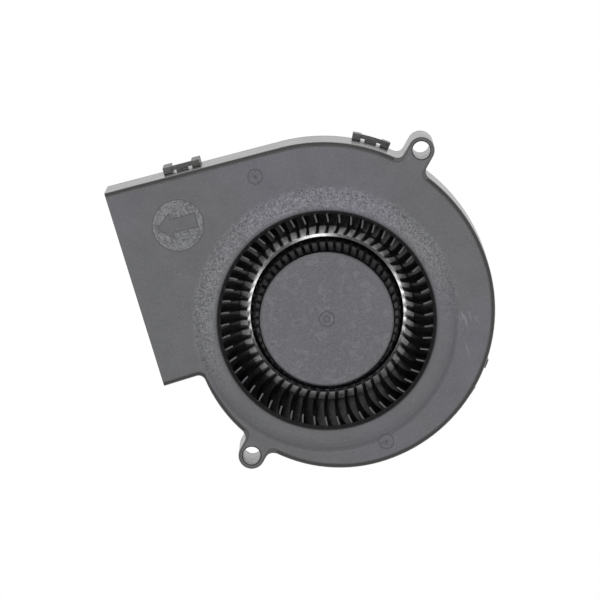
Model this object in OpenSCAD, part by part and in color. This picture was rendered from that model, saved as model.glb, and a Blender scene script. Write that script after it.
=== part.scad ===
// Centrifugal blower fan with a scroll housing, a forward-curved impeller and an outer-rotor motor.
// +Z is the fan axis and points out of the intake. The origin is on the axis at the rear face.
// The air leaves through the rectangular outlet on the -X side.

/* [Housing] */
// Total thickness, rear face to the crest of the intake ring
overall_t = 33; // [31:0.5:40]
// Wall of both mouldings
wall = 1.8; // [1.2:0.1:2.2]
// Thickness of the rear cover
cover_t = 2; // [1.6:0.1:3]
// Axis to the outlet plane
outlet_x = 49; // [44:0.5:60]
// Axis down to the lower wall of the outlet
outlet_low = 4.25; // [3:0.25:8]
// Slope of the top wall, degrees
top_slope = 2.5; // [1:0.5:4]
// Radius of the first quadrant of the scroll
scroll_r = 41.1; // [40:0.1:46]
// Growth of the scroll radius into the second quadrant
scroll_step_y = 3.45; // [2:0.05:5]
// Growth of the scroll radius into the third quadrant
scroll_step_x = 3.65; // [2:0.05:5]
// Fillet outside the scroll's tongue
tongue_r = 2; // [1:0.25:3]
// Width of the smooth band round the grained front panel
band_w = 1.35; // [1:0.05:2.5]
// Rounding of the front outer edge
edge_round = 1; // [0.5:0.1:1.3]

/* [Intake] */
// Bore of the intake
intake_d = 59.6; // [56:0.2:61]
// Outer diameter of the raised ring round the intake
ring_d = 73.8; // [70:0.2:78]
// Height of the raised ring over the panel
ring_h = 0.7; // [0.3:0.1:1.2]

/* [Mounting ears] */
// Hole of a mounting ear
ear_hole_d = 5; // [4:0.1:5.4]
// Wall round the hole
ear_wall = 1.2; // [1:0.1:2]
// Axis to the hole of the upper ear
ear_upper_reach = 54.5; // [53:0.25:58]
// Axis to the hole of the lower ear
ear_lower_reach = 43.5; // [42.5:0.25:50]
// Direction of the upper ear, degrees from +X
ear_angle = 43.85; // [40:0.5:48]
// Fillet where an ear meets the scroll
ear_fillet = 2.2; // [1:0.1:2.6]

/* [Latches] */
// Length of a latch loop along the wall
latch_len = 10.6; // [9:0.2:14]
// How far a latch loop stands out from the wall
latch_out = 1.9; // [1.7:0.1:2.6]
// Width of a loop's leg
latch_leg = 2.4; // [2:0.1:3]
// Height of the strap across a loop
latch_strap = 1.6; // [1.2:0.1:2.4]
// Width of the wedge that a loop snaps over
wedge_w = 3.4; // [2.5:0.1:4]

/* [Impeller] */
// Outer diameter of the blade ring
impeller_d = 68; // [66:0.5:69]
// Number of blades
blade_n = 54; // [36:1:54]
// Front face of the housing down to the blades
blade_drop = 3.8; // [3.4:0.1:5]
// Inner diameter of the blades at the front
blade_front_d = 54.8; // [50:0.2:58]
// Inner diameter of the blades at the base disc
blade_root_d = 45.2; // [44.6:0.2:48]
// Radius of a blade's curve
blade_curve_r = 11; // [10:0.5:14]
// Blade thickness at the front
blade_t_front = 0.44; // [0.4:0.02:0.6]
// Blade thickness at the root
blade_t_root = 0.95; // [0.8:0.05:1.1]
// How far the base disc reaches out under the blades
disc_reach = 2.1; // [1.6:0.1:3.4]
// Diameter of the hub at its front
hub_d = 38.4; // [38:0.2:40]
// Diameter of the hub at the base disc
hub_base_d = 42.5; // [41:0.1:44]
// Front face of the housing down to the hub
hub_drop = 5; // [4.4:0.1:7]
// Wall of the hub's top
hub_wall = 1.2; // [0.8:0.1:1.6]

/* [Motor] */
// Shaft diameter
shaft_d = 3; // [2.5:0.1:3.4]
// Outer diameter of a ball bearing
bearing_d = 8; // [7.6:0.1:9]
// Width of a ball bearing
bearing_w = 4; // [3.6:0.1:4.4]
// Balls in each bearing
ball_n = 7; // [6:1:8]
// Outer diameter of the bearing tube
tube_d = 10; // [9.6:0.1:11]
// Outer diameter of the rotor cup
yoke_d = 35.9; // [35:0.1:36.4]
// Sheet thickness of the rotor cup
yoke_t = 1; // [0.8:0.1:1.3]
// Radial thickness of the magnet
magnet_t = 1.5; // [1.2:0.1:2]
// Length of the magnet
magnet_h = 14; // [10:0.5:15]
// Air gap between the magnet and the stator
air_gap = 0.4; // [0.3:0.05:0.8]
// Height of the lamination stack
stack_h = 9; // [7:0.5:10]
// Poles of the stator
pole_n = 4; // [4:1:4]
// Diameter of the circuit board
board_d = 31; // [29:0.5:32]
// Thickness of the circuit board
board_t = 1.2; // [0.8:0.1:1.6]
// Diameter of the rear label
label_d = 40; // [30:1:44]
// Thickness of the rear label
label_t = 0.3; // [0.2:0.05:0.5]

/* [Hidden] */
$fn = 96;

plastic = [0.13, 0.13, 0.14];
gloss_plastic = [0.05, 0.05, 0.055];
steel = [0.62, 0.63, 0.65];
brass = [0.75, 0.6, 0.32];
e = 0.01;

// Levels of the front
panel_z = overall_t - ring_h;
ledge_drop = 0.35;
ledge_z = panel_z - ledge_drop;
front_inner_z = panel_z - wall;
lip_z = front_inner_z - 0.3;

// Scroll: three quadrants whose centres step round a rectangle
scroll_c3 = [-0.35, 1.95];
scroll_c2 = scroll_c3 + [scroll_step_x, 0];
scroll_c1 = scroll_c2 - [0, scroll_step_y];
r1 = scroll_r;
r2 = r1 + scroll_step_y;
r3 = r2 + scroll_step_x;
function dir(a) = [cos(a), sin(a)];
// Point on the top wall at a distance x along X, for an outline drawn inset by i
top_dir = 90 - top_slope;
function top_y(x, i = 0) = scroll_c3[1] + ((r3 - i) - (x - scroll_c3[0]) * cos(top_dir)) / sin(top_dir);
// Centre of the tongue's fillet, below the outlet's lower wall and outside the first quadrant
tongue_y = -outlet_low - tongue_r;
tongue_c = [scroll_c1[0] - sqrt(pow(r1 + tongue_r, 2) - pow(tongue_y - scroll_c1[1], 2)), tongue_y];
tongue_dir = atan2(tongue_y - scroll_c1[1], tongue_c[0] - scroll_c1[0]) + 360;

// Ears
ear_r = ear_hole_d / 2 + ear_wall;
ear_upper = ear_upper_reach * dir(ear_angle);
ear_lower = -ear_lower_reach * dir(ear_angle);

// Impeller levels
blade_z = overall_t - blade_drop;
hub_z = overall_t - hub_drop;
disc_z = cover_t + 3;
disc_d = blade_root_d + 2 * disc_reach;
disc_t = 1.2;
disc_fall = 0.36;
skirt_z = disc_z - disc_t;
ring_t = 1.8;
ring_w = 1.5;
hub_bore_d = yoke_d + 0.1;
hub_round = 0.8;
// A blade's curve: its centre lies ahead of the blade, so that the blade leans forward at its outer end
blade_lean = 12.7;
blade_ref_r = 28.8;
blade_phase = -0.8;
blade_cx = blade_ref_r - blade_curve_r * sin(blade_lean);
blade_cy = blade_curve_r * cos(blade_lean);

// Motor levels, from the rear face up
shaft_z = 1;
clip_z = 1.3;
clip_t = 0.4;
clip_od = 5.2;
groove_d = shaft_d - 0.7;
washer_t = 0.2;
bearing_low_z = clip_z + clip_t + washer_t + 0.1;
bearing_gap = 8.5;
bearing_up_z = bearing_low_z + bearing_w + bearing_gap;
tube_top_z = bearing_up_z + bearing_w + 1;
tube_flange_d = 14;
shoulder_d = bearing_d - 1.4;
board_z = disc_z;
board_bore_d = tube_d + 0.8;
coil_t = 1.8;
insulator_t = 0.9;
stack_z = board_z + board_t + 3.2;
stack_top = stack_z + stack_h;
yoke_top = hub_z - hub_wall;
yoke_z = board_z + board_t + 0.3;
yoke_bore = yoke_d / 2 - yoke_t;
magnet_r = yoke_bore - magnet_t;
magnet_z = stack_z + stack_h / 2 - magnet_h / 2;
stator_r = magnet_r - air_gap;
bushing_d = 7.6;
bushing_z = bearing_up_z + bearing_w + 3;
shaft_top = yoke_top - 0.4;

// Ball bearing proportions
race_in_d = shaft_d + 1.4;
race_out_d = bearing_d - 1.4;
ball_d = (race_out_d - race_in_d) / 2 + 0.48;
ball_pitch = (race_out_d + race_in_d) / 4;
ball_clear = 0.03;

// ---------- outlines ----------
module slice(c, r, a0, a1) {
    // Pie slice of a circle, from angle a0 to a1, under half a turn
    reach = 1.6 * r;
    am = (a0 + a1) / 2;
    translate(c) intersection() {
        circle(r);
        polygon([[0, 0], reach * dir(a0), reach * dir((a0 + am) / 2), reach * dir(am),
            reach * dir((a1 + am) / 2), reach * dir(a1)]);
    }
}

// Concave fillet: fills the corner between two walls that touch the circle (f, r) in directions d1 and d2,
// d2 being counter-clockwise of d1. It reaches 1.2 mm into the walls.
fill_start = 0.2;
module corner_fill(f, r, d1, d2) {
    reach = r + 1.2;
    s1 = f + fill_start * [-d1[1], d1[0]];
    s2 = f + fill_start * [d2[1], -d2[0]];
    difference() {
        polygon([s1, s1 + reach * d1, f + reach * (d1 + d2) / (1 + d1 * d2), s2 + reach * d2, s2]);
        translate(f) circle(r);
    }
}

// The scroll's circles lie inside one another and touch where a quadrant ends. A larger one takes over
// just past that point, where the step between them is a few hundredths of a millimetre at most.
seam = 3;
top_seam = 1.8;
far = 80;
module duct_2d(i, left) {
    x = scroll_c3[0] + (r3 - i) * cos(top_dir) - top_seam;
    polygon([[x, top_y(x, i)], [-left, top_y(-left, i)], [-left, i - outlet_low], [-20, i - outlet_low],
        [x, 20]]);
}

module tongue_2d(i) corner_fill(tongue_c, tongue_r + i, dir(tongue_dir - 180), [0, 1]);

module scroll_2d(i = 0, left = outlet_x) {
    // The housing's outline drawn inset by i, with its flat outlet end at x = -left
    union() {
        translate(scroll_c1) circle(r1 - i);
        intersection() {
            translate(scroll_c2) circle(r2 - i);
            translate([scroll_c2[0] + seam, -far]) square([far, 2 * far]);
        }
        intersection() {
            translate(scroll_c3) circle(r3 - i);
            translate([-far, scroll_c3[1] + seam]) square([2 * far, far]);
        }
        duct_2d(i, left);
        tongue_2d(i);
    }
}

// Centre of an ear's root fillet: beside the ear's flank, at r from its middle, and outside the scroll's arc
function root_c(ear_dir, r, side, arc_c, arc_r) =
    let (u = dir(ear_dir), v = [-u[1], u[0]] * side, off = (r + ear_fillet) * v,
        rel = off - arc_c, b = rel * u, c = rel * rel - pow(arc_r + ear_fillet, 2))
    off + (-b + sqrt(b * b - c)) * u;

module ear_2d(reach, r, ear_dir, arc_c, arc_r) {
    // Round ear of radius r with a web as wide as itself that runs into the scroll's arc
    u = dir(ear_dir);
    v = [-u[1], u[0]];
    union() {
        translate(reach * u) circle(r);
        rotate(ear_dir) translate([arc_r - 8, -r]) square([reach - arc_r + 7.7, 2 * r]);
        for (side = [-1, 1]) {
            f = root_c(ear_dir, r, side, arc_c, arc_r);
            seat = (arc_c - f) / norm(arc_c - f);
            corner_fill(f, ear_fillet, side > 0 ? seat : v, side > 0 ? -v : seat);
        }
    }
}

// Both ears, drawn inset by i and running into the scroll's outline drawn inset by arc_i
module ears_2d(i = 0, arc_i = 0) {
    ear_2d(ear_upper_reach, ear_r - i, ear_angle, scroll_c3, r3 - arc_i);
    ear_2d(ear_lower_reach, ear_r - i, ear_angle + 180, scroll_c1, r1 - arc_i);
}

module ear_holes(z0, z1) {
    for (p = [ear_upper, ear_lower]) translate([p[0], p[1], z0]) cylinder(d = ear_hole_d, h = z1 - z0);
}

// ---------- body with a rounded front edge ----------
// Corner cut with three facets: x is the distance in from the side, y the height below the front. The
// outer facets run on past the two faces that they meet.
module edge_cut(r) {
    long = r * (1 - sin(30));
    short = r * (1 - cos(30));
    polygon([[long - 2 * r, short], [-long, -short], [-short, -long], [short, long - 2 * r],
        [1, long - 2 * r], [1, 1], [long - 2 * r, 1]]);
}

module line_cut(p, q, z) {
    // Cuts the edge that runs from p to q at height z, with the housing on its left
    d = q - p;
    translate([p[0], p[1], z]) rotate([0, 0, atan2(d[1], d[0])]) rotate([90, 0, 90])
        linear_extrude(norm(d)) mirror([1, 0]) edge_cut(edge_round);
}

module rounded_disc(c, r, h) {
    b = edge_round;
    translate(c) rotate_extrude() polygon([[0, 0], [r, 0], [r, h - b],
        [r - b * (1 - sin(60)), h - b * (1 - cos(60))], [r - b * (1 - sin(30)), h - b * (1 - cos(30))],
        [r - b, h], [0, h]]);
}

module scroll_body(h) {
    rounded_disc(scroll_c1, r1, h);
    intersection() {
        rounded_disc(scroll_c2, r2, h);
        translate([scroll_c2[0] + seam, -far, -1]) cube([far, 2 * far, h + 2]);
    }
    intersection() {
        rounded_disc(scroll_c3, r3, h);
        translate([-far, scroll_c3[1] + seam, -1]) cube([2 * far, far, h + 2]);
    }
    difference() {
        linear_extrude(h) duct_2d(0, outlet_x);
        line_cut([5, top_y(5)], [-outlet_x - 5, top_y(-outlet_x - 5)], h);
        line_cut([-outlet_x - 5, -outlet_low], [0, -outlet_low], h);
    }
    difference() {
        linear_extrude(h) tongue_2d(0);
        translate([tongue_c[0], tongue_c[1], h]) rotate_extrude()
            translate([tongue_r, 0]) mirror([1, 0]) edge_cut(edge_round);
    }
}

// ---------- latches ----------
// A latch site: kind 0 is on an arc (centre, radius, direction), kind 1 is on the top wall (x). Then come
// the height of the loop's legs, and how far its legs and its strap are set back from latch_out.
wedge_h = 3.2;
latch_play = 0.12;
strap_drop = 0.8;
low_latch = cover_t + 0.2 + wedge_h + latch_play + latch_strap + strap_drop;
high_latch = low_latch + 10;
latch_sites = [
    [1, -26.7, 0, 0, high_latch, 0, 0],
    [0, scroll_c3, r3, 57, low_latch, 0, 0],
    [0, scroll_c2, r2, -44.4, low_latch, 0.35, 0.8],
    [0, scroll_c1, r1, 255, low_latch, 0.35, 0.8]];

// Sweeps a profile along the wall at a latch site, from t0 to t1. The profile's x is the distance out of
// the wall, and its y is the height.
module wall_sweep(s, t0, t1) {
    if (s[0] == 0)
        translate([s[1][0], s[1][1], 0]) rotate([0, 0, s[3] + t0 / s[2] * 180 / PI])
            rotate_extrude(angle = (t1 - t0) / s[2] * 180 / PI) translate([s[2], 0]) children();
    else
        translate([s[1], top_y(s[1]), 0]) rotate([0, 0, -top_slope]) translate([t0, 0, 0])
            rotate([90, 0, 90]) linear_extrude(t1 - t0) children();
}

strap_in = 0.65;
root_z = cover_t - 0.1;
module latch_loop(s) {
    // Two legs that grow from the cover's edge, with a strap across them near their ends. The window
    // between the legs goes right through, and the strap stands clear of the wall.
    half = latch_len / 2;
    window = half - latch_leg;
    strap_z = s[4] - strap_drop;
    leg_out = latch_out - s[5];
    strap_out = latch_out - s[6];
    past = latch_out + 1;
    difference() {
        wall_sweep(s, -half, half) polygon([[-1.2, 0], [leg_out, 0], [leg_out, s[4]], [latch_play, s[4]],
            [latch_play, root_z], [-1.2, root_z]]);
        wall_sweep(s, -window, window) difference() {
            translate([-2, -1]) square([past + 2, s[4] + 2]);
            translate([strap_in, strap_z - latch_strap])
                square([s[6] > 0 ? strap_out - strap_in : past, latch_strap]);
        }
    }
}

module latch_wedge(s) {
    // Ramp that the strap rides up, with a flat top that it locks on
    top = s[4] - strap_drop - latch_strap - latch_play;
    crest = strap_in + 0.5;
    wall_sweep(s, -wedge_w / 2, wedge_w / 2) polygon([[-0.5, top - wedge_h], [0.1, top - wedge_h],
        [crest, top - 0.7], [crest, top], [-0.5, top]]);
}

// ---------- housing ----------
arrow_c = [-31.9, 37.7];
arrow_d = 14.8;
arrow_rise = 0.15;
groove_w = 0.3;
groove_t = 0.25;
mark_d = 4.4;
mark_t = 0.15;
ear_edge = 0.6;
ear_chamfer = 0.3;
mark_sites = [[-7.25, 44.4], [5.85, -37.4]];

module arrow_2d() {
    // Block arrow that points at the outlet
    rotate([0, 0, -top_slope]) polygon([[-5.6, 0.6], [-1.9, 3.6], [-1.9, 1.9], [5.2, 2.2], [5.2, -1.7],
        [-1.9, -1.3], [-1.9, -2.9]]);
}

lip = intake_d / 2;
ring_r = ring_d / 2;
ring_profile = [
    [lip, lip_z], [lip, lip_z + 0.4],
    [lip + 0.85, overall_t - 0.45], [lip + 1.15, overall_t - 0.16], [lip + 1.7, overall_t],
    [lip + 3.6, overall_t], [lip + 4.7, overall_t - 0.08], [lip + 5.8, overall_t - 0.28],
    [ring_r - 0.5, panel_z + 0.12], [ring_r + 0.4, panel_z - 0.1], [ring_r + 0.4, panel_z - 1],
    [lip + 2.2, front_inner_z + 0.3], [lip + 2, lip_z]];

module raised_panel() {
    // Grained face with its ears, a step above the smooth band
    translate([0, 0, ledge_z - 0.5]) linear_extrude(panel_z - ledge_z + 0.5) union() {
        scroll_2d(band_w);
        ears_2d(ear_edge, band_w);
    }
}

module arrow_grooves() {
    // One groove round the arrow's disc and one round the arrow
    translate([arrow_c[0], arrow_c[1], panel_z - groove_t]) {
        difference() {
            cylinder(d = arrow_d, h = 1);
            translate([0, 0, -1]) cylinder(d = arrow_d - 2 * groove_w, h = 3);
        }
        linear_extrude(1) offset(delta = groove_w) arrow_2d();
    }
}

module mark_cuts() {
    // Shallow round marks of the ejector pins, each with a dot left standing in its middle
    for (m = mark_sites) translate([m[0], m[1], panel_z - mark_t]) difference() {
        cylinder(d = mark_d, h = ring_h + 1);
        translate([0, 0, -1]) cylinder(d = 0.7, h = ring_h + 3);
    }
}

module front_housing() {
    color(plastic) {
        difference() {
            union() {
                difference() {
                    union() {
                        translate([0, 0, cover_t]) {
                            scroll_body(ledge_z - cover_t);
                            linear_extrude(ledge_z - cover_t) union() ears_2d();
                        }
                        raised_panel();
                        for (s = latch_sites) latch_wedge(s);
                    }
                    translate([0, 0, cover_t - e]) linear_extrude(front_inner_z - cover_t + e)
                        scroll_2d(wall, outlet_x + 5);
                    translate([0, 0, lip_z - 1]) cylinder(r = lip + 1.5, h = overall_t);
                }
                rotate_extrude() polygon(ring_profile);
            }
            ear_holes(cover_t - 1, overall_t);
            for (p = [ear_upper, ear_lower]) translate([p[0], p[1], panel_z - ear_chamfer])
                cylinder(d1 = ear_hole_d, d2 = ear_hole_d + 4 * ear_chamfer, h = 2 * ear_chamfer);
            arrow_grooves();
            mark_cuts();
            lead_exit();
        }
        translate([arrow_c[0], arrow_c[1], panel_z - groove_t - 0.2])
            linear_extrude(groove_t + 0.2 + arrow_rise) arrow_2d();
    }
}

// Notch for the leads in the side wall, by the lower ear
exit_dir = 243;
exit_w = 5;
exit_h = 2.5;
module lead_exit() {
    c = scroll_c1 + r1 * dir(exit_dir);
    translate([c[0], c[1], cover_t + exit_h / 2 - 0.5]) rotate([0, 0, exit_dir])
        cube([8, exit_w, exit_h + 1], center = true);
}

module rear_cover() {
    rim_gap = 0.2;
    rim_w = 1;
    rim_h = 1.6;
    color(plastic) difference() {
        union() {
            linear_extrude(cover_t) union() {
                scroll_2d();
                ears_2d();
            }
            // Rim that centres the cover inside the side wall
            difference() {
                translate([0, 0, cover_t - 0.2]) linear_extrude(rim_h + 0.2)
                    scroll_2d(wall + rim_gap, outlet_x - 4);
                translate([0, 0, cover_t - 1])
                    linear_extrude(rim_h + 2) scroll_2d(wall + rim_gap + rim_w, outlet_x + 5);
            }
            for (s = latch_sites) latch_loop(s);
            // Boss round the bearing tube and three posts for the circuit board
            cylinder(d = tube_flange_d + 4, h = cover_t + 1);
            for (k = [0 : 2]) rotate([0, 0, 90 + 120 * k]) translate([board_d / 2 - 3, 0, 0])
                cylinder(d = 3, h = board_z);
        }
        translate([0, 0, -1]) cylinder(d = tube_d, h = 10);
        translate([0, 0, cover_t - 0.2]) cylinder(d = tube_flange_d, h = 10);
        translate([0, 0, -1]) cylinder(d = label_d + 0.4, h = 1 + label_t);
        ear_holes(-1, cover_t + 1);
        lead_exit();
        // Groove that takes the leads from the board to the notch
        rotate([0, 0, exit_dir]) translate([tube_flange_d / 2 + 3, -exit_w / 2, cover_t - 0.6])
            cube([r1, exit_w, 4]);
    }
}

module rear_label() {
    color([0.7, 0.7, 0.7]) cylinder(d = label_d, h = label_t);
}

// ---------- bearings and shaft ----------
module bearing_tube() {
    color(brass) difference() {
        union() {
            translate([0, 0, label_t + 0.1]) cylinder(d = tube_d, h = tube_top_z - label_t - 0.1);
            translate([0, 0, cover_t - 0.2]) cylinder(d = tube_flange_d, h = 1.2);
        }
        translate([0, 0, -1]) cylinder(d = bearing_d, h = 1 + bearing_low_z + bearing_w);
        translate([0, 0, bearing_up_z]) cylinder(d = bearing_d, h = 20);
        cylinder(d = shoulder_d, h = 40);
    }
}

module bearing_outer(z) {
    color(steel) difference() {
        translate([0, 0, z]) cylinder(d = bearing_d, h = bearing_w);
        translate([0, 0, z - 1]) cylinder(d = race_out_d, h = bearing_w + 2);
        translate([0, 0, z + bearing_w / 2]) rotate_extrude()
            translate([ball_pitch, 0]) circle(ball_d / 2 + ball_clear);
    }
}

module bearing_inner(z) {
    color(steel) difference() {
        translate([0, 0, z]) cylinder(d = race_in_d, h = bearing_w);
        translate([0, 0, z - 1]) cylinder(d = shaft_d, h = bearing_w + 2);
        translate([0, 0, z + bearing_w / 2]) rotate_extrude()
            translate([ball_pitch, 0]) circle(ball_d / 2 + ball_clear);
    }
}

module bearing_balls(z) {
    color(steel) for (k = [0 : ball_n - 1]) rotate([0, 0, 360 / ball_n * k])
        translate([ball_pitch, 0, z + bearing_w / 2]) sphere(d = ball_d, $fn = 32);
}

module bearing_cage(z) {
    cage_h = ball_d + 0.5;
    color(brass) difference() {
        translate([0, 0, z + (bearing_w - cage_h) / 2]) cylinder(r = ball_pitch + 0.2, h = cage_h);
        translate([0, 0, z - 1]) cylinder(r = ball_pitch - 0.2, h = bearing_w + 2);
        for (k = [0 : ball_n - 1]) rotate([0, 0, 360 / ball_n * k])
            translate([ball_pitch, 0, z + bearing_w / 2]) sphere(d = ball_d + 0.08, $fn = 32);
    }
}

module bearing_shields(z) {
    shield_t = 0.2;
    color(steel) for (at = [z + 0.1, z + bearing_w - 0.1 - shield_t]) translate([0, 0, at]) difference() {
        cylinder(d = race_out_d, h = shield_t);
        translate([0, 0, -1]) cylinder(d = race_in_d + 0.3, h = 2);
    }
}

module retaining_clip() {
    color(steel) translate([0, 0, clip_z]) linear_extrude(clip_t) difference() {
        circle(d = clip_od);
        circle(d = groove_d);
        translate([0, -0.8]) square([clip_od, 1.6]);
    }
}

module clip_washer() {
    color(steel) translate([0, 0, clip_z + clip_t]) difference() {
        cylinder(d = race_in_d - 0.1, h = washer_t);
        translate([0, 0, -1]) cylinder(d = shaft_d + 0.06, h = 2);
    }
}

// Compression spring: a round wire swept along a helix
spring_wire = 0.36;
spring_r = shaft_d / 2 + 0.45;
spring_turns = 3.5;
spring_sides = 6;
spring_steps = 16;
module preload_spring() {
    z0 = bearing_up_z + bearing_w + spring_wire / 2 + 0.05;
    z1 = bushing_z - spring_wire / 2 - 0.05;
    n = spring_turns * spring_steps;
    points = [for (i = [0 : n]) for (k = [0 : spring_sides - 1])
        let (a = 360 / spring_steps * i, b = 360 / spring_sides * k,
            rr = spring_r + spring_wire / 2 * cos(b))
        [rr * cos(a), rr * sin(a), z0 + (z1 - z0) * i / n + spring_wire / 2 * sin(b)]];
    sides = [for (i = [0 : n - 1]) for (k = [0 : spring_sides - 1])
        let (m = (k + 1) % spring_sides)
        [i * spring_sides + k, (i + 1) * spring_sides + k, (i + 1) * spring_sides + m, i * spring_sides + m]];
    start = [for (k = [0 : spring_sides - 1]) k];
    end = [for (k = [spring_sides - 1 : -1 : 0]) n * spring_sides + k];
    color(steel) polyhedron(points, concat([start], sides, [end]), convexity = 8);
}

module shaft() {
    color(steel) difference() {
        translate([0, 0, shaft_z]) cylinder(d = shaft_d, h = shaft_top - shaft_z);
        translate([0, 0, clip_z]) difference() {
            cylinder(d = shaft_d + 1, h = clip_t);
            translate([0, 0, -1]) cylinder(d = groove_d, h = 3);
        }
    }
}

module shaft_bushing() {
    color(brass) difference() {
        union() {
            translate([0, 0, bushing_z]) cylinder(d = bushing_d, h = yoke_top - bushing_z);
            translate([0, 0, bushing_z]) cylinder(d = bushing_d + 2, h = yoke_top - yoke_t - bushing_z);
        }
        translate([0, 0, bushing_z - 1]) cylinder(d = shaft_d, h = 20);
    }
}

// ---------- rotor ----------
module rotor_yoke() {
    color(steel) difference() {
        translate([0, 0, yoke_z]) cylinder(d = yoke_d, h = yoke_top - yoke_z);
        translate([0, 0, yoke_z - 1]) cylinder(r = yoke_bore, h = yoke_top - yoke_t - yoke_z + 1);
        cylinder(d = bushing_d, h = 60);
    }
}

module magnet_ring() {
    color([0.22, 0.21, 0.2]) translate([0, 0, magnet_z]) difference() {
        cylinder(r = yoke_bore, h = magnet_h);
        translate([0, 0, -1]) cylinder(r = magnet_r, h = magnet_h + 2);
    }
}

module blade_shells(h) {
    // Each blade is a slice of a thin conical ring, thicker at the root for draft
    for (k = [0 : blade_n - 1]) rotate([0, 0, blade_phase + 360 / blade_n * k])
        intersection() {
            translate([blade_cx, blade_cy, 0]) difference() {
                cylinder(r1 = blade_curve_r + blade_t_root / 2,
                    r2 = blade_curve_r + blade_t_front / 2, h = h);
                translate([0, 0, -e]) cylinder(r1 = blade_curve_r - blade_t_root / 2,
                    r2 = blade_curve_r - blade_t_front / 2, h = h + 2 * e);
            }
            translate([blade_root_d / 2 - 4, -8, 0])
                cube([impeller_d / 2 - blade_root_d / 2 + 6, 8 + blade_cy * 0.75, h]);
        }
}

module impeller() {
    h = blade_z - skirt_z;
    color(gloss_plastic) {
        // Blades, trimmed to their slanted inner edge
        intersection() {
            translate([0, 0, skirt_z]) blade_shells(h);
            rotate_extrude() polygon([[blade_root_d / 2, skirt_z], [impeller_d / 2 - 0.3, skirt_z],
                [impeller_d / 2 - 0.3, blade_z], [blade_front_d / 2, blade_z], [blade_root_d / 2, disc_z]]);
        }
        // Stiffening ring round the blades' front ends
        translate([0, 0, blade_z - ring_t]) difference() {
            cylinder(d = impeller_d, h = ring_t);
            translate([0, 0, -1]) cylinder(r = impeller_d / 2 - ring_w, h = ring_t + 2);
        }
        // Hub and base disc
        difference() {
            rotate_extrude() polygon([[0, skirt_z], [disc_d / 2, skirt_z], [disc_d / 2, disc_z - disc_fall],
                [hub_base_d / 2 + 0.5, disc_z], [hub_base_d / 2 + 0.2, disc_z + 0.15],
                [hub_base_d / 2, disc_z + 0.5],
                [hub_d / 2, hub_z - hub_round], [hub_d / 2 - 0.2 * hub_round, hub_z - 0.4 * hub_round],
                [hub_d / 2 - 0.5 * hub_round, hub_z - 0.1 * hub_round],
                [hub_d / 2 - hub_round, hub_z], [0, hub_z]]);
            translate([0, 0, skirt_z - 1]) cylinder(d = hub_bore_d, h = yoke_top - skirt_z + 1);
            // Moulding gate mark
            translate([0, 0, hub_z - 0.2]) difference() {
                cylinder(d = 4.4, h = 1);
                translate([0, 0, -1]) cylinder(d = 1.4, h = 3);
            }
        }
    }
}

// ---------- stator ----------
arm_w = 4.4;
shoe_t = 1.6;
shoe_half = 36;
module pole_2d(w, r_hub, r_out, shoe) {
    circle(r_hub);
    for (k = [0 : pole_n - 1]) rotate([0, 0, 360 / pole_n * k]) {
        translate([0, -w / 2]) square([r_out - shoe_t / 2, w]);
        difference() {
            slice([0, 0], r_out, -shoe, shoe);
            circle(r_out - shoe_t);
        }
    }
}

core_hub_r = tube_d / 2 + 2;
module stator_core() {
    color([0.5, 0.52, 0.55]) translate([0, 0, stack_z]) linear_extrude(stack_h) difference() {
        pole_2d(arm_w, core_hub_r, stator_r, shoe_half);
        circle(d = tube_d);
    }
}

module insulator(z) {
    color([0.75, 0.74, 0.7]) translate([0, 0, z]) linear_extrude(insulator_t) difference() {
        pole_2d(arm_w, core_hub_r, stator_r - 0.3, shoe_half - 6);
        circle(d = tube_d + 0.3);
    }
}

module upper_insulator() insulator(stack_top);
module lower_insulator() insulator(stack_z - insulator_t);

module stator_coils() {
    // The coil's outer corners stay inside the pole shoes
    shoe_in = stator_r - shoe_t - 0.3;
    r_in = core_hub_r + 0.5;
    r_out = sqrt(pow(shoe_in - 0.2, 2) - pow(arm_w / 2 + coil_t, 2));
    z0 = stack_z - insulator_t;
    h = stack_h + 2 * insulator_t;
    color([0.72, 0.4, 0.2]) for (k = [0 : pole_n - 1]) rotate([0, 0, 360 / pole_n * k])
        difference() {
            translate([r_in, -arm_w / 2 - coil_t, z0 - coil_t])
                cube([r_out - r_in, arm_w + 2 * coil_t, h + 2 * coil_t]);
            translate([r_in - 1, -arm_w / 2, z0]) cube([r_out - r_in + 2, arm_w, h]);
        }
}

// ---------- circuit board ----------
pin_dir = 225;
module circuit_board() {
    color([0.1, 0.35, 0.2]) translate([0, 0, board_z]) difference() {
        cylinder(d = board_d, h = board_t);
        translate([0, 0, -1]) cylinder(d = board_bore_d, h = board_t + 2);
    }
}

// Part that stands on the board between two poles, at an angle and a distance from the axis
module on_board(a, r) {
    rotate([0, 0, a]) translate([r, 0, board_z + board_t]) children();
}

module hall_driver() {
    color([0.08, 0.08, 0.08]) on_board(45, board_d / 2 - 4.4) translate([0, -2.1, 0.2]) cube([1.6, 4.2, 4]);
    color(steel) on_board(45, board_d / 2 - 4.4)
        for (k = [-1.5 : 1 : 1.5]) translate([0.6, k - 0.2, 0]) cube([0.4, 0.4, 0.3]);
}

module capacitor() {
    color([0.12, 0.12, 0.3]) on_board(pin_dir, board_d / 2 - 4) cylinder(d = 4, h = 5.5);
}

module board_components() {
    color([0.1, 0.1, 0.1]) on_board(135, board_d / 2 - 4) translate([-0.8, -2, 0]) cube([1.6, 4, 1.2]);
    color([0.2, 0.2, 0.2]) for (k = [-1, 1]) on_board(315 + 9 * k, board_d / 2 - 4)
        translate([-0.6, -1, 0]) cube([1.2, 2, 0.6]);
}

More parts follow.
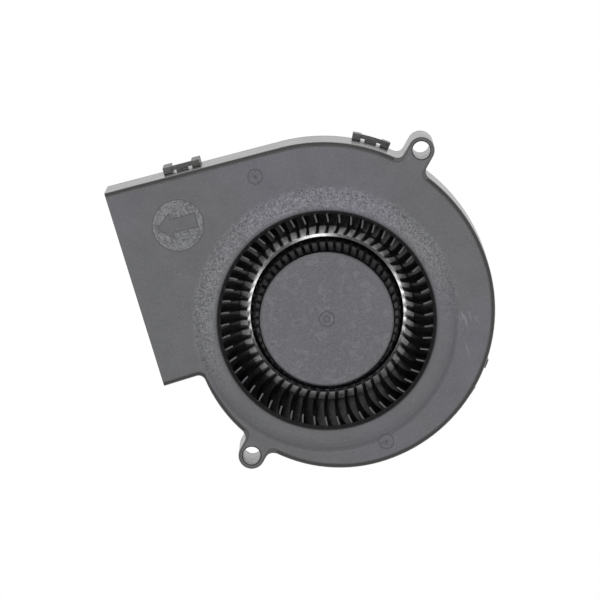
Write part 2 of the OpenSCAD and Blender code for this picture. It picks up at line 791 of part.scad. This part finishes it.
front_housing();
rear_cover();
rear_label();
bearing_tube();
bearing_outer(bearing_low_z);  // lower_bearing_outer
bearing_inner(bearing_low_z);  // lower_bearing_inner
bearing_balls(bearing_low_z);  // lower_bearing_balls
bearing_cage(bearing_low_z);  // lower_bearing_cage
bearing_shields(bearing_low_z);  // lower_bearing_shields
bearing_outer(bearing_up_z);  // upper_bearing_outer
bearing_inner(bearing_up_z);  // upper_bearing_inner
bearing_balls(bearing_up_z);  // upper_bearing_balls
bearing_cage(bearing_up_z);  // upper_bearing_cage
bearing_shields(bearing_up_z);  // upper_bearing_shields
retaining_clip();
clip_washer();
preload_spring();
shaft();
shaft_bushing();
rotor_yoke();
magnet_ring();
impeller();
stator_core();
upper_insulator();
lower_insulator();
stator_coils();
circuit_board();
hall_driver();
capacitor();
board_components();
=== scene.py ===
# A dc blower fan: scroll housing in two snapped halves, forward-curved impeller, outer-rotor motor.
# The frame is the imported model: origin on the fan axis at the rear face, +Z out of the intake.
import bpy
import bmesh
from mathutils import Matrix, Vector


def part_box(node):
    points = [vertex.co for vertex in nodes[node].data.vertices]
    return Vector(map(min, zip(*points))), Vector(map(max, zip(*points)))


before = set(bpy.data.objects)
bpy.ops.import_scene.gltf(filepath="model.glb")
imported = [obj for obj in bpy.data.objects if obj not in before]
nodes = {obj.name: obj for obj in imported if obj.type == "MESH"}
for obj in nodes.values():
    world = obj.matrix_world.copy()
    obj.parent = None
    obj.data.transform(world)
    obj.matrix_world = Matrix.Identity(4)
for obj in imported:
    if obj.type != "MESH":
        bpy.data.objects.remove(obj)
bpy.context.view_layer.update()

# ---- Camera --------------------------------------------------------------------------------
# A long lens looks down on the intake from about two metres. It leans slightly over the top wall, and
# is turned so that the outlet stands at the left and the top wall climbs to the right.
MM = 0.001
lens_distance = 2.074
aim_right, aim_up = -7.524 * MM, 5.762 * MM
front_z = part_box("front_housing")[1].z
back = Vector((0.0269, 0.0735, 0.9969)).normalized()
right = Vector((0.9554, -0.2953, 0))
right = (right - back * right.dot(back)).normalized()
up = back.cross(right)
camera = bpy.data.objects.new("camera", bpy.data.cameras.new("camera"))
camera.data.sensor_width = 36
camera.data.lens = 444.9
camera.data.clip_start = 0.1
camera.data.clip_end = 50
place = Vector((0, 0, front_z)) + aim_right * right + aim_up * up + lens_distance * back
camera.matrix_world = Matrix.Translation(place) @ Matrix((right, up, back)).transposed().to_4x4()
bpy.context.scene.collection.objects.link(camera)
bpy.context.scene.camera = camera
bpy.context.scene.view_settings.view_transform = "Standard"

# ---- Daylight and softboxes ----------------------------------------------------------------
# A white room as the eye and gloss see it, dimmer as a light. Two small softboxes stand at the left
# and right of the lens, a third just above it, and a large warm one leans in over the top wall.
room_light, room_level = (0.95, 0.96, 1.0), 0.37
warm_light = (1.0, 0.98, 0.95)


def white_where_seen(tree):
    # 1 where the eye, a reflection or glass looks, 0 where light falls on a surface
    path = tree.nodes.new("ShaderNodeLightPath")
    either = path.outputs["Is Camera Ray"]
    for kind in ("Is Glossy Ray", "Is Transmission Ray"):
        larger = tree.nodes.new("ShaderNodeMath")
        larger.operation = "MAXIMUM"
        tree.links.new(either, larger.inputs[0])
        tree.links.new(path.outputs[kind], larger.inputs[1])
        either = larger.outputs[0]
    return either


world = bpy.data.worlds.new("daylight")
bpy.context.scene.world = world
world.use_nodes = True
tree = world.node_tree
tree.nodes.clear()
dim = tree.nodes.new("ShaderNodeBackground")
dim.inputs["Color"].default_value = (*room_light, 1)
dim.inputs["Strength"].default_value = room_level
white = tree.nodes.new("ShaderNodeBackground")
mix = tree.nodes.new("ShaderNodeMixShader")
out = tree.nodes.new("ShaderNodeOutputWorld")
tree.links.new(white_where_seen(tree), mix.inputs["Fac"])
tree.links.new(dim.outputs[0], mix.inputs[1])
tree.links.new(white.outputs[0], mix.inputs[2])
tree.links.new(mix.outputs[0], out.inputs["Surface"])


def softbox(name, direction, distance, size, watts, colour=(1, 1, 1)):
    # A round soft lamp that looks at the fan from a direction
    lamp = bpy.data.lights.new(name, "AREA")
    lamp.shape = "DISK"
    lamp.size = size
    lamp.energy = watts
    lamp.color = colour
    made = bpy.data.objects.new(name, lamp)
    made.location = Vector((0, 0, front_z)) + direction.normalized() * distance
    made.rotation_euler = direction.to_track_quat("Z", "Y").to_euler()
    bpy.context.scene.collection.objects.link(made)


fan_axis = Vector((0, 0, 1))
for name, side in (("softbox_right", 1), ("softbox_left", -1)):
    softbox(name, fan_axis + 0.225 * side * right - 0.05 * up, distance=2.0, size=0.4, watts=6.0)
softbox("softbox_near", fan_axis + 0.235 * up - 0.05 * right, distance=2.0, size=0.3, watts=4.0)
softbox("softbox_top", fan_axis + 1.1 * up + 0.1 * right, distance=1.6, size=0.9, watts=4.0,
        colour=warm_light)

# ---- Table ---------------------------------------------------------------------------------
# A white sheet of paper under the fan. It shows as plain white, like the room, so it carries no
# shadow, and it throws the lamps' light back at the fan as paper does.
table_half, paper_gap = 1.5, 0.3 * MM
paper_white = (0.9, 0.9, 0.9)
table_mesh = bpy.data.meshes.new("table")
bm = bmesh.new()
bmesh.ops.create_grid(bm, x_segments=4, y_segments=4, size=table_half)
bm.to_mesh(table_mesh)
bm.free()
table = bpy.data.objects.new("table", table_mesh)
table.location.z = -paper_gap
bpy.context.scene.collection.objects.link(table)
paper = bpy.data.materials.new("paper")
paper.use_nodes = True
tree = paper.node_tree
tree.nodes.clear()
diffuse = tree.nodes.new("ShaderNodeBsdfDiffuse")
diffuse.inputs["Color"].default_value = (*paper_white, 1)
glow = tree.nodes.new("ShaderNodeEmission")
mix = tree.nodes.new("ShaderNodeMixShader")
out = tree.nodes.new("ShaderNodeOutputMaterial")
tree.links.new(white_where_seen(tree), mix.inputs["Fac"])
tree.links.new(diffuse.outputs[0], mix.inputs[1])
tree.links.new(glow.outputs[0], mix.inputs[2])
tree.links.new(mix.outputs[0], out.inputs["Surface"])
table.data.materials.append(paper)

# ---- Housing halves ------------------------------------------------------------------------
# Two moulded halves of black glass-filled polyester: the front with its intake, and the flat rear
# cover whose loops snap over wedges on the side wall. The front panel is spark-eroded to a fine
# grain, coarser on the arrow disc and towards the top wall on the ring round the intake, where its
# paler tone is painted light, and a smooth band runs round its edge. The cover's floor under the
# impeller is painted pale grey as painted light.


def shader_group(name, inputs, outputs):
    tree = bpy.data.node_groups.new(name, "ShaderNodeTree")
    for socket, value in inputs:
        made = tree.interface.new_socket(name=socket, in_out="INPUT", socket_type="NodeSocketFloat")
        made.default_value = value
    for socket in outputs:
        tree.interface.new_socket(name=socket, in_out="OUTPUT", socket_type="NodeSocketFloat")
    return tree, tree.nodes.new("NodeGroupInput").outputs, tree.nodes.new("NodeGroupOutput").inputs


def calc(tree, operation, *values, clamp=False):
    # A Math node on sockets or numbers
    made = tree.nodes.new("ShaderNodeMath")
    made.operation = operation
    made.use_clamp = clamp
    for socket, value in zip(made.inputs, values):
        if isinstance(value, (int, float)):
            socket.default_value = value
        else:
            tree.links.new(value, socket)
    return made.outputs[0]


def noise(tree, vector, scale, detail=3, rough=0.5):
    made = tree.nodes.new("ShaderNodeTexNoise")
    made.inputs["Scale"].default_value = scale
    made.inputs["Detail"].default_value = detail
    made.inputs["Roughness"].default_value = rough
    tree.links.new(vector, made.inputs["Vector"])
    return made.outputs["Fac"]


def fade(tree, value, low, high):
    # 0 below low, 1 above high, smooth between; low may be the larger
    made = tree.nodes.new("ShaderNodeMapRange")
    made.interpolation_type = "SMOOTHSTEP"
    made.inputs["From Min"].default_value = low
    made.inputs["From Max"].default_value = high
    tree.links.new(value, made.inputs["Value"])
    return made.outputs["Result"]


def position(tree, stretch=None):
    # The piece's own coordinates, stretched along each axis if asked
    where = tree.nodes.new("ShaderNodeTexCoord").outputs["Object"]
    if stretch is None:
        return where
    made = tree.nodes.new("ShaderNodeVectorMath")
    made.operation = "MULTIPLY"
    made.inputs[1].default_value = stretch
    tree.links.new(where, made.inputs[0])
    return made.outputs[0]


def distance_from(tree, centre, stretch=(1, 1, 0)):
    # Distance in metres from a point, measured in the face's plane
    away = tree.nodes.new("ShaderNodeVectorMath")
    away.operation = "SUBTRACT"
    away.inputs[1].default_value = [c * s for c, s in zip(centre, stretch)]
    tree.links.new(position(tree, stretch), away.inputs[0])
    length = tree.nodes.new("ShaderNodeVectorMath")
    length.operation = "LENGTH"
    tree.links.new(away.outputs[0], length.inputs[0])
    return length.outputs["Value"]


# Mould grain: fine height, sparse bright flecks where the steel's pits left a peak, and broad clouds
# where the plastic flowed.
grain_tree, grain_in, grain_out = shader_group(
    "mould_grain", [("Flecks", 0.2), ("Clouds", 0.1)], ["Height", "Tone"])
where = position(grain_tree)
fine = noise(grain_tree, where, 3300, 2, 0.7)
middling = noise(grain_tree, where, 1500, 2, 0.5)
cloud = noise(grain_tree, where, 95, 4, 0.6)
height = calc(grain_tree, "MULTIPLY_ADD", middling, 0.6, fine)
grain_tree.links.new(height, grain_out["Height"])
fleck = calc(grain_tree, "SUBTRACT", height, 0.8)
fleck = calc(grain_tree, "MULTIPLY", calc(grain_tree, "MULTIPLY", fleck, 4.0), grain_in["Flecks"])
drift = calc(grain_tree, "MULTIPLY", calc(grain_tree, "MULTIPLY_ADD", cloud, 2.0, -1.0), grain_in["Clouds"])
grain_tree.links.new(calc(grain_tree, "ADD", calc(grain_tree, "ADD", fleck, drift), 1.0), grain_out["Tone"])

# Handling: fine scratches in two directions, and specks of dust in the hollows.
wear_tree, wear_in, wear_out = shader_group("handling_wear", [("Dust", 0.3)], ["Scratches", "Dust"])
lines = None
for stretch, threshold in (((1.0, 0.06, 1.0), 0.70), ((0.08, 1.0, 1.0), 0.72)):
    streak = fade(wear_tree, noise(wear_tree, position(wear_tree, stretch), 2600, 2, 0.6),
                  threshold, threshold + 0.05)
    lines = streak if lines is None else calc(wear_tree, "MAXIMUM", lines, streak)
where = position(wear_tree)
patches = fade(wear_tree, noise(wear_tree, where, 60, 2), 0.5, 0.68)
wear_tree.links.new(calc(wear_tree, "MULTIPLY", lines, patches), wear_out["Scratches"])
specks = fade(wear_tree, noise(wear_tree, where, 1900, 1, 0.4), 0.69, 0.76)
wear_tree.links.new(calc(wear_tree, "MULTIPLY", specks, wear_in["Dust"]), wear_out["Dust"])


def place_group(tree, source, **values):
    made = tree.nodes.new("ShaderNodeGroup")
    made.node_tree = source
    for socket, value in values.items():
        made.inputs[socket].default_value = value
    return made


def scaled_colour(tree, colour, tone):
    made = tree.nodes.new("ShaderNodeVectorMath")
    made.operation = "SCALE"
    if isinstance(colour, tuple):
        made.inputs[0].default_value = colour
    else:
        tree.links.new(colour, made.inputs[0])
    tree.links.new(tone, made.inputs["Scale"])
    return made.outputs[0]


def mixed_colour(tree, factor, first, second):
    made = tree.nodes.new("ShaderNodeMix")
    made.data_type = "RGBA"
    tree.links.new(factor, made.inputs["Factor"])
    for socket, colour in ((made.inputs[6], first), (made.inputs[7], second)):
        if isinstance(colour, tuple):
            socket.default_value = (*colour, 1)
        else:
            tree.links.new(colour, socket)
    return made.outputs[2]


def new_material(name):
    made = bpy.data.materials.new(name)
    made.use_nodes = True
    return made, made.node_tree, made.node_tree.nodes["Principled BSDF"]


def bumped(tree, shader, height, strength, depth=0.00005):
    made = tree.nodes.new("ShaderNodeBump")
    made.inputs["Strength"].default_value = strength
    made.inputs["Distance"].default_value = depth
    tree.links.new(height, made.inputs["Height"])
    tree.links.new(made.outputs[0], shader.inputs["Normal"])


def moulded(name, colour, rough, bump=0.15, flecks=0.1, clouds=0.1, dust_and_painted_light=0.15, rough_spread=0.12):
    # Moulded plastic: grained, clouded, a little dusty and scratched
    made, tree, shader = new_material(name)
    grain = place_group(tree, grain_tree, Flecks=flecks, Clouds=clouds)
    wear = place_group(tree, wear_tree, Dust=dust_and_painted_light)
    toned = scaled_colour(tree, colour, grain.outputs["Tone"])
    pale = tuple(0.5 * c + 0.16 for c in colour)
    scratched = calc(tree, "MULTIPLY", wear.outputs["Scratches"], 0.35)
    worn = calc(tree, "ADD", scratched, wear.outputs["Dust"], clamp=True)
    tree.links.new(mixed_colour(tree, worn, toned, pale), shader.inputs["Base Color"])
    patch = noise(tree, position(tree), 140, 3)
    wander = calc(tree, "MULTIPLY_ADD", patch, 2 * rough_spread, rough - rough_spread)
    tree.links.new(calc(tree, "MULTIPLY_ADD", worn, 0.15, wander), shader.inputs["Roughness"])
    shader.inputs["IOR"].default_value = 1.5
    bumped(tree, shader, grain.outputs["Height"], bump)
    return made


housing_plastic = moulded("housing_plastic", (0.03, 0.03, 0.031), 0.24, bump=0.03, flecks=0.05,
                          rough_spread=0.06)

# Each pair runs from where a fade is 0 to where it is 1
ring_height = 0.7 * MM
panel_z = front_z - ring_height
ring_in_r, ring_out_r = (30.8 * MM, 32.4 * MM), (38.4 * MM, 36.2 * MM)
# painted light: across this span the ring's slope turns paler towards the top wall
painted_light_y = (-16 * MM, 14 * MM)
arrow_centre, arrow_r = (-31.9 * MM, 37.7 * MM, 0), (7.3 * MM, 7.0 * MM)
arrow_z = (panel_z + 0.12 * MM, panel_z + 0.05 * MM)
scuff_centre, scuff_r = (36 * MM, -13 * MM, 0), (6.5 * MM, 1.0 * MM)
mark_centres = ((-7.25 * MM, 44.4 * MM, 0), (5.85 * MM, -37.4 * MM, 0))
mark_r, mark_line = 2.05 * MM, 0.3 * MM
mark_dot_r, mark_floor_r = (0.5 * MM, 0.35 * MM), (1.9 * MM, 1.7 * MM)
green_grey, violet_grey = (0.098, 0.099, 0.103), (0.108, 0.104, 0.121)
# The first colour darkens the ejector marks' rims and dots as painted shade of their edges
painted_mark_shade, scuffed = (0.03, 0.03, 0.033), (0.34, 0.335, 0.345)


def ring_line(tree, radius, r, width):
    # 1 on a thin circle of radius r
    inner = fade(tree, radius, r - width, r)
    outer = fade(tree, radius, r + width, r)
    return calc(tree, "MULTIPLY", inner, outer)


def panel_material():
    # The grained face: violet-grey, greener where the plastic ran thin, paler on the coarse grain; on the
    # ring's top that paler tone is painted light
    made, tree, shader = new_material("panel_plastic")
    grain = place_group(tree, grain_tree, Flecks=0.16, Clouds=0.07)
    coarse = place_group(tree, grain_tree, Flecks=0.9, Clouds=0.08)
    wear = place_group(tree, wear_tree, Dust=0.5)
    # Coarse grain on the ring's outer slope and the arrow disc; on the ring it fades in towards the top
    # wall, where its paler tone is painted light from the lamp over the top wall
    radius = distance_from(tree, (0, 0, 0))
    ring = calc(tree, "MULTIPLY", fade(tree, radius, *ring_in_r), fade(tree, radius, *ring_out_r))
    axes = tree.nodes.new("ShaderNodeSeparateXYZ")
    tree.links.new(position(tree), axes.inputs[0])
    above = fade(tree, axes.outputs["Y"], *painted_light_y)
    disc = fade(tree, distance_from(tree, arrow_centre), *arrow_r)
    on_arrow = fade(tree, axes.outputs["Z"], *arrow_z)
    disc = calc(tree, "MULTIPLY", disc, on_arrow)
    coarse_and_painted_light = calc(tree, "MAXIMUM", calc(tree, "MULTIPLY", ring, above), disc)
    flow = noise(tree, position(tree), 22, 3, 0.55)
    tint = mixed_colour(tree, fade(tree, flow, 0.38, 0.64), green_grey, violet_grey)
    # Raising the coarse grain's tone by half paints light on the ring's top; on the arrow disc it is the
    # disc's paler grain
    toned = mixed_colour(tree, coarse_and_painted_light, scaled_colour(tree, tint, grain.outputs["Tone"]),
                         scaled_colour(tree, tint, calc(tree, "MULTIPLY", coarse.outputs["Tone"], 1.5)))
    # Scuffs where the fan has been slid against others, at the right of the intake
    scuff_spot = fade(tree, distance_from(tree, scuff_centre, (1, 0.55, 0)), *scuff_r)
    scuff_lines = fade(tree, noise(tree, position(tree, (1.0, 0.16, 1.0)), 900, 3, 0.65), 0.55, 0.66)
    scuffs = calc(tree, "MULTIPLY", calc(tree, "MULTIPLY", scuff_spot, scuff_lines), 0.4)
    worn = calc(tree, "MULTIPLY_ADD", wear.outputs["Scratches"], 0.25, scuffs)
    worn = calc(tree, "ADD", worn, calc(tree, "MULTIPLY", wear.outputs["Dust"], 0.35), clamp=True)
    # Ejector marks: a dark rim and a dark dot, painted shade of the recess's wall and of the standing dot,
    # and a rough floor darkened in patches
    marks = None
    for centre in mark_centres:
        away = distance_from(tree, centre)
        rim = ring_line(tree, away, mark_r, mark_line)
        edges = calc(tree, "MAXIMUM", rim, fade(tree, away, *mark_dot_r))
        rough_floor = calc(tree, "MULTIPLY", fade(tree, away, *mark_floor_r),
                           fade(tree, noise(tree, position(tree), 1300, 2), 0.5, 0.6))
        both = calc(tree, "MAXIMUM", edges, calc(tree, "MULTIPLY", rough_floor, 0.55))
        marks = both if marks is None else calc(tree, "MAXIMUM", marks, both)
    face = mixed_colour(tree, calc(tree, "MULTIPLY", marks, 0.75), toned, painted_mark_shade)
    tree.links.new(mixed_colour(tree, worn, face, scuffed), shader.inputs["Base Color"])
    patch = noise(tree, position(tree), 160, 3)
    tree.links.new(calc(tree, "MULTIPLY_ADD", patch, 0.16, 0.46), shader.inputs["Roughness"])
    shader.inputs["IOR"].default_value = 1.5
    strength = calc(tree, "MULTIPLY_ADD", coarse_and_painted_light, 1.6, 0.7)
    bumped(tree, shader, calc(tree, "MULTIPLY", grain.outputs["Height"], strength), 0.45)
    return made


def dress(node, *materials):
    mesh = nodes[node].data
    mesh.materials.clear()
    for material in materials:
        mesh.materials.append(material)
    return mesh


def is_front(face, level, margin, steep=0.75):
    return face.center.z > level - margin and face.normal.z > steep


lip_r = 30.7 * MM
front = dress("front_housing", housing_plastic, panel_material())
for face in front.polygons:
    if is_front(face, panel_z, 0.2 * MM) and face.center.xy.length > lip_r:
        face.material_index = 1
cover_plastic = moulded("cover_plastic", (0.035, 0.034, 0.032), 0.4, bump=0.08, flecks=0.08, dust_and_painted_light=0.3)
# The cover's floor under the impeller is painted pale grey: painted light where the lamps reach it through
# the blade gaps, with pale flecks on it
painted_lit_floor = moulded("painted_lit_floor", (0.3, 0.295, 0.305), 0.6, bump=0.3, flecks=0.4, clouds=0.6, dust_and_painted_light=0.5)
cover = dress("rear_cover", cover_plastic, painted_lit_floor)
cover_t, scroll_floor_r = 2 * MM, 38 * MM
for face in cover.polygons:
    on_top = abs(face.center.z - cover_t) < 0.1 * MM and face.normal.z > 0.9
    if on_top and face.center.xy.length < scroll_floor_r:
        face.material_index = 1

# ---- Rear label ----------------------------------------------------------------------------
# A bare round polyester film with a faint satin orange peel. Its own adhesive holds it in the recess
# of the rear cover, where it closes the bearing's bore.
dress("rear_label", moulded("label_film", (0.62, 0.62, 0.6), 0.42, bump=0.02, flecks=0.02,
                            clouds=0.03, dust_and_painted_light=0.1))

# ---- Impeller ------------------------------------------------------------------------------
# One moulding of black polyester with polished blades, hub wall and base disc. The hub's flat top is
# spark-eroded, mottled where the melt met itself, and carries the round gate mark.
hub_drop, disc_rise = 5 * MM, 5 * MM
hub_r, hub_base_r, rim_round = 19.2 * MM, 21.9 * MM, 1.5 * MM
blade_drop, blade_root_r, blade_inner_r = 3.8 * MM, 22.6 * MM, 27 * MM
# The gate mark's edges, drawn dark as painted shade
gate_rings = ((2.1 * MM, 0.28 * MM), (0.75 * MM, 0.3 * MM))
gloss_black = (0.006, 0.006, 0.008)
blade_plastic = moulded("impeller_plastic", gloss_black, 0.4, bump=0.05, flecks=0.1, clouds=0.2,
                        dust_and_painted_light=0.05)


def polished_material():
    # Hub wall and base disc, polished; beyond the blade roots the disc is painted pale and rougher, painted
    # light where the lamps reach it among the roots
    made, tree, shader = new_material("polished_plastic")
    radius = distance_from(tree, (0, 0, 0))
    wear = place_group(tree, wear_tree, Dust=0.4)
    painted_light_between_roots = fade(tree, radius, blade_root_r - 0.15 * MM, blade_root_r + 0.15 * MM)
    film = noise(tree, position(tree), 900, 3)
    # painted light: the pale colour of the disc beyond the blade roots
    dust_and_painted_light = scaled_colour(tree, (0.4, 0.4, 0.41), calc(tree, "MULTIPLY_ADD", film, 0.6, 0.7))
    clean = mixed_colour(tree, wear.outputs["Dust"], gloss_black, (0.12, 0.12, 0.12))
    tree.links.new(mixed_colour(tree, painted_light_between_roots, clean, dust_and_painted_light), shader.inputs["Base Color"])
    tree.links.new(calc(tree, "MULTIPLY_ADD", painted_light_between_roots, 0.25, calc(tree, "MULTIPLY_ADD", film, 0.08, 0.08)),
                   shader.inputs["Roughness"])
    shader.inputs["IOR"].default_value = 1.75
    bumped(tree, shader, film, 0.05)
    return made


def hub_material(name, rim_r, pale=1.0):
    # Spark-eroded face with the mottle of the melt's flow; pale scales its two greys
    made, tree, shader = new_material(name)
    grain = place_group(tree, grain_tree, Flecks=0.34, Clouds=0.14)
    wear = place_group(tree, wear_tree, Dust=0.5)
    mottle = noise(tree, position(tree), 330, 3, 0.6)
    blotches = calc(tree, "MULTIPLY", fade(tree, mottle, 0.52, 0.62), fade(tree, mottle, 0.72, 0.6))
    tint = mixed_colour(tree, blotches, tuple(pale * c for c in (0.098, 0.097, 0.109)),
                        tuple(pale * c for c in (0.14, 0.138, 0.15)))
    toned = scaled_colour(tree, tint, grain.outputs["Tone"])
    worn = calc(tree, "MULTIPLY_ADD", wear.outputs["Scratches"], 0.3,
                calc(tree, "MULTIPLY", wear.outputs["Dust"], 0.4), clamp=True)
    dusty = mixed_colour(tree, worn, toned, (0.3, 0.3, 0.31))
    # The eroded face gives way to polish over its rounded rim. The gate mark's edges are dark rings,
    # painted shade of its edges
    radius = distance_from(tree, (0, 0, 0))
    polish = fade(tree, radius, rim_r - rim_round, rim_r - 0.1 * MM)
    gate = calc(tree, "MAXIMUM", *(ring_line(tree, radius, r, width) for r, width in gate_rings))
    polish_and_painted_shade = calc(tree, "MAXIMUM", polish, calc(tree, "MULTIPLY", gate, 0.7))
    tree.links.new(mixed_colour(tree, polish_and_painted_shade, dusty, (0.008, 0.008, 0.01)), shader.inputs["Base Color"])
    rough = calc(tree, "MULTIPLY_ADD", mottle, 0.2, 0.42)
    tree.links.new(calc(tree, "MULTIPLY_ADD", polish, -0.3, rough), shader.inputs["Roughness"])
    shader.inputs["IOR"].default_value = 1.5
    bumped(tree, shader, grain.outputs["Height"], 0.3)
    return made


disc_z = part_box("rear_cover")[0].z + disc_rise
impeller = dress("impeller", blade_plastic, hub_material("hub_plastic", hub_r),
                 hub_material("blade_end_plastic", 2 * hub_r, 0.6), polished_material())
for face in impeller.polygons:
    radius = face.center.xy.length
    if radius < hub_base_r or (abs(face.center.z - disc_z) < 0.7 * MM and face.normal.z > 0.8):
        face.material_index = 3
    if is_front(face, front_z - hub_drop, 1.2 * MM, 0.02) and radius < hub_r + 0.3 * MM:
        face.material_index = 1
    if is_front(face, front_z - blade_drop, 0.1 * MM) and radius > blade_inner_r:
        face.material_index = 2

# ---- Metal pieces of the motor -------------------------------------------------------------
# Shaft, bearings, clip, washer and spring of ground steel; brass tube, cages and bushing, turned; a
# drawn and zinc-plated rotor cup; the stack of punched silicon steel; the capacitor's drawn can.
turned, ground, drawn, zinc_drawn = (0.05, 0.05, 4.0), (0.4, 0.4, 2.5), (1.5, 1.5, 0.1), (2.0, 2.0, 0.1)
sheets = (0.02, 0.02, 2.6)


def metal(name, colour, rough, marks, depth=0.3):
    # Bare metal with tool marks: the noise is squeezed along the marks' axis
    made, tree, shader = new_material(name)
    rings = noise(tree, position(tree, marks), 900, 3, 0.6)
    stain = noise(tree, position(tree), 180, 4, 0.6)
    tone = calc(tree, "MULTIPLY_ADD", rings, 0.16, calc(tree, "MULTIPLY_ADD", stain, 0.2, 0.82))
    tree.links.new(scaled_colour(tree, colour, tone), shader.inputs["Base Color"])
    tree.links.new(calc(tree, "MULTIPLY_ADD", stain, 0.16, rough - 0.08), shader.inputs["Roughness"])
    shader.inputs["Metallic"].default_value = 1.0
    bumped(tree, shader, rings, depth, 0.00002)
    return made


steel = metal("bearing_steel", (0.62, 0.63, 0.65), 0.2, ground, 0.15)
brass = metal("brass", (0.78, 0.6, 0.3), 0.28, turned)
for name in nodes:
    if name.startswith(("lower_bearing", "upper_bearing")):
        dress(name, brass if name.endswith("cage") else steel)
for name in ("retaining_clip", "clip_washer", "preload_spring", "shaft"):
    dress(name, steel)
for name in ("bearing_tube", "shaft_bushing"):
    dress(name, brass)
dress("rotor_yoke", metal("yoke_steel", (0.6, 0.61, 0.6), 0.34, zinc_drawn, 0.2))
dress("stator_core", metal("lamination", (0.36, 0.37, 0.4), 0.42, sheets, 0.8))
dress("capacitor", metal("can", (0.72, 0.72, 0.74), 0.26, drawn, 0.1))

# ---- Magnet, insulators, windings and board ------------------------------------------------
# A bonded ferrite ring, nylon bobbins, enamelled copper wire laid in turns, and a fibreglass board
# under green solder mask with its moulded parts.
dress("magnet_ring", moulded("magnet", (0.05, 0.048, 0.045), 0.66, bump=0.3, flecks=0.5, clouds=0.15))
nylon = moulded("insulator", (0.66, 0.63, 0.55), 0.42, bump=0.06, flecks=0.03, clouds=0.05)
for name in ("upper_insulator", "lower_insulator"):
    dress(name, nylon)


def winding():
    made, tree, shader = new_material("copper")
    wave = tree.nodes.new("ShaderNodeTexWave")
    wave.wave_type = "BANDS"
    wave.bands_direction = "DIAGONAL"
    wave.inputs["Scale"].default_value = 480
    wave.inputs["Distortion"].default_value = 1.2
    wave.inputs["Detail"].default_value = 1
    tree.links.new(position(tree), wave.inputs["Vector"])
    turns = wave.outputs["Fac"]
    # The turns are banded bright and dark copper: the dark bands are painted shade where the round wires
    # meet
    colour = mixed_colour(tree, turns, (0.2, 0.055, 0.02), (0.78, 0.33, 0.13))
    tree.links.new(colour, shader.inputs["Base Color"])
    tree.links.new(calc(tree, "MULTIPLY_ADD", turns, -0.15, 0.4), shader.inputs["Roughness"])
    shader.inputs["Metallic"].default_value = 0.85
    shader.inputs["Coat Weight"].default_value = 0.4
    bumped(tree, shader, turns, 0.7, 0.0001)
    return made


dress("stator_coils", winding())


def solder_mask():
    made, tree, shader = new_material("board")
    tracks = tree.nodes.new("ShaderNodeTexBrick")
    tracks.inputs["Scale"].default_value = 420
    tracks.inputs["Mortar Size"].default_value = 0.06
    tree.links.new(position(tree), tracks.inputs["Vector"])
    copper_under = calc(tree, "SUBTRACT", 1.0, tracks.outputs["Fac"])
    weave = noise(tree, position(tree), 1500, 2)
    colour = mixed_colour(tree, copper_under, (0.012, 0.1, 0.04), (0.03, 0.2, 0.075))
    toned = scaled_colour(tree, colour, calc(tree, "MULTIPLY_ADD", weave, 0.4, 0.8))
    tree.links.new(toned, shader.inputs["Base Color"])
    tree.links.new(calc(tree, "MULTIPLY_ADD", weave, 0.1, 0.26), shader.inputs["Roughness"])
    bumped(tree, shader, copper_under, 0.4, 0.00004)
    return made


dress("circuit_board", solder_mask())
epoxy = moulded("component", (0.03, 0.03, 0.03), 0.5, bump=0.12, flecks=0.2)
for name in ("hall_driver", "board_components"):
    dress(name, epoxy)
